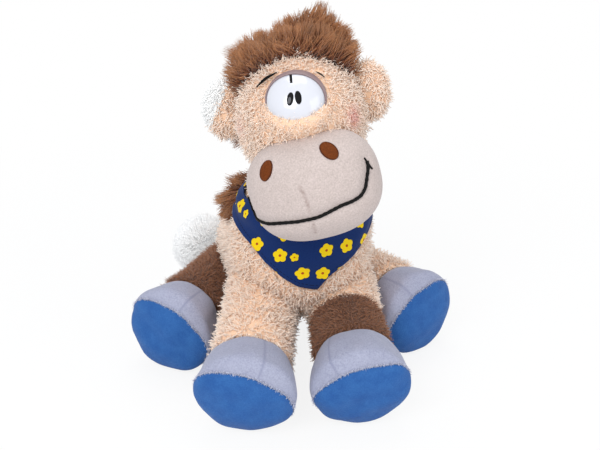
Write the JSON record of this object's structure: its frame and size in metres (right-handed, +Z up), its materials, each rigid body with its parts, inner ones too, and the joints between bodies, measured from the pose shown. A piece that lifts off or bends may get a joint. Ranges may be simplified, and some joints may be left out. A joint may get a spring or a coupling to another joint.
{
  "type": "plush horse",
  "caption": "Sitting plush horse with splayed legs, a domed eye, floppy ears, brown mane, white tail and a flowered bandana.",
  "frame": {"origin": "middle of the flat patch under the rump, at floor level", "axes": "+Z up, -Y the way the horse faces, +X to the viewer's right when facing the horse"},
  "size_m": [0.2419, 0.2768, 0.2648],
  "materials": {
    "tan_plush": "curly sherpa pile",
    "brown_plush": "short dense pile",
    "long_brown_fur": "long brushed pile",
    "white_fur": "long fluffy pile",
    "grey_velour": "smooth velour",
    "lilac_velour": "smooth velour",
    "blue_fleece": "short fleece",
    "navy_cotton": "printed plain weave cotton",
    "brown_thread": "satin stitch",
    "black_thread": "corded stitch",
    "white_plastic": "polished",
    "lid_plastic": "satin",
    "washer_plastic": "satin",
    "fibre_fill": "loose polyester fibre",
    "pellet_cloth": "plain weave bag of pellets"
  },
  "bodies": {
    "torso": {"torso_cover": "tan_plush", "torso_fill": "fibre_fill", "seat_pellet_bag": "pellet_cloth", "neck_cover": "tan_plush", "neck_fill": "fibre_fill", "bandana": "navy_cotton", "mane": "long_brown_fur"},
    "neck_ball": {"neck_ball": "fibre_fill"},
    "head": {"head_cover": "tan_plush", "head_fill": "fibre_fill", "muzzle_cover": "grey_velour", "nostril_left": "brown_thread", "nostril_right": "brown_thread", "mouth_stitch": "black_thread", "eye_dome": "white_plastic", "eye_lid": "lid_plastic", "eye_washer": "washer_plastic", "hair": "long_brown_fur"},
    "ear_left": {"ear_left_front": "tan_plush", "ear_left_back": "white_fur"},
    "ear_right": {"ear_right_front": "tan_plush", "ear_right_back": "tan_plush"},
    "foreleg_left": {"foreleg_left_cover": "tan_plush", "foreleg_left_cuff": "lilac_velour", "foreleg_left_sole": "blue_fleece", "foreleg_left_fill": "fibre_fill"},
    "foreleg_right": {"foreleg_right_cover": "tan_plush", "foreleg_right_sock": "brown_plush", "foreleg_right_cuff": "lilac_velour", "foreleg_right_sole": "blue_fleece", "foreleg_right_fill": "fibre_fill"},
    "hindleg_left": {"hindleg_left_cover": "brown_plush", "hindleg_left_cuff": "lilac_velour", "hindleg_left_sole": "blue_fleece", "hindleg_left_fill": "fibre_fill"},
    "hindleg_right": {"hindleg_right_cover": "tan_plush", "hindleg_right_cuff": "lilac_velour", "hindleg_right_sole": "blue_fleece", "hindleg_right_fill": "fibre_fill"},
    "tail": {"tail_root": "long_brown_fur", "tail_tuft": "white_fur"}
  },
  "joints": [
    {"name": "head_turn", "type": "hinge", "parent": "torso", "child": "neck_ball", "pos_m": [0.006, -0.104, 0.16], "axis": [0.0859, -0.2021, 0.9756], "range_deg": [-20, 20], "stiffness_Nm_per_rad": 0.4},
    {"name": "head_nod", "type": "hinge", "parent": "neck_ball", "child": "head", "pos_m": [0.006, -0.104, 0.16], "axis": [0.9752, -0.172, 0.1392], "range_deg": [-12, 12], "stiffness_Nm_per_rad": 0.5},
    {"name": "ear_left_flop", "type": "hinge", "parent": "head", "child": "ear_left", "pos_m": [-0.04246, -0.10358, 0.20478], "axis": [-0.1371, 0.0242, 0.9903], "range_deg": [-15, 15], "stiffness_Nm_per_rad": 0.02},
    {"name": "ear_right_flop", "type": "hinge", "parent": "head", "child": "ear_right", "pos_m": [0.03088, -0.11651, 0.21525], "axis": [-0.1371, 0.0242, 0.9903], "range_deg": [-15, 15], "stiffness_Nm_per_rad": 0.02},
    {"name": "foreleg_left_lift", "type": "hinge", "parent": "torso", "child": "foreleg_left", "pos_m": [-0.027, -0.095, 0.06093], "axis": [-0.9613, 0.2756, 0], "range_deg": [0, 12], "stiffness_Nm_per_rad": 0.06},
    {"name": "foreleg_right_lift", "type": "hinge", "parent": "torso", "child": "foreleg_right", "pos_m": [0.027, -0.095, 0.06093], "axis": [-0.9994, 0.0349, 0], "range_deg": [0, 12], "stiffness_Nm_per_rad": 0.06},
    {"name": "hindleg_left_splay", "type": "hinge", "parent": "torso", "child": "hindleg_left", "pos_m": [-0.042, -0.018, 0.034], "axis": [0, 0, -1], "range_deg": [0, 25], "stiffness_Nm_per_rad": 0.06},
    {"name": "hindleg_right_splay", "type": "hinge", "parent": "torso", "child": "hindleg_right", "pos_m": [0.042, -0.018, 0.034], "axis": [0, 0, 1], "range_deg": [0, 25], "stiffness_Nm_per_rad": 0.06},
    {"name": "tail_swing", "type": "hinge", "parent": "torso", "child": "tail", "pos_m": [-0.012, 0.055, 0.039], "axis": [0, 0, -1], "range_deg": [0, 60], "stiffness_Nm_per_rad": 0.02}
  ]
}
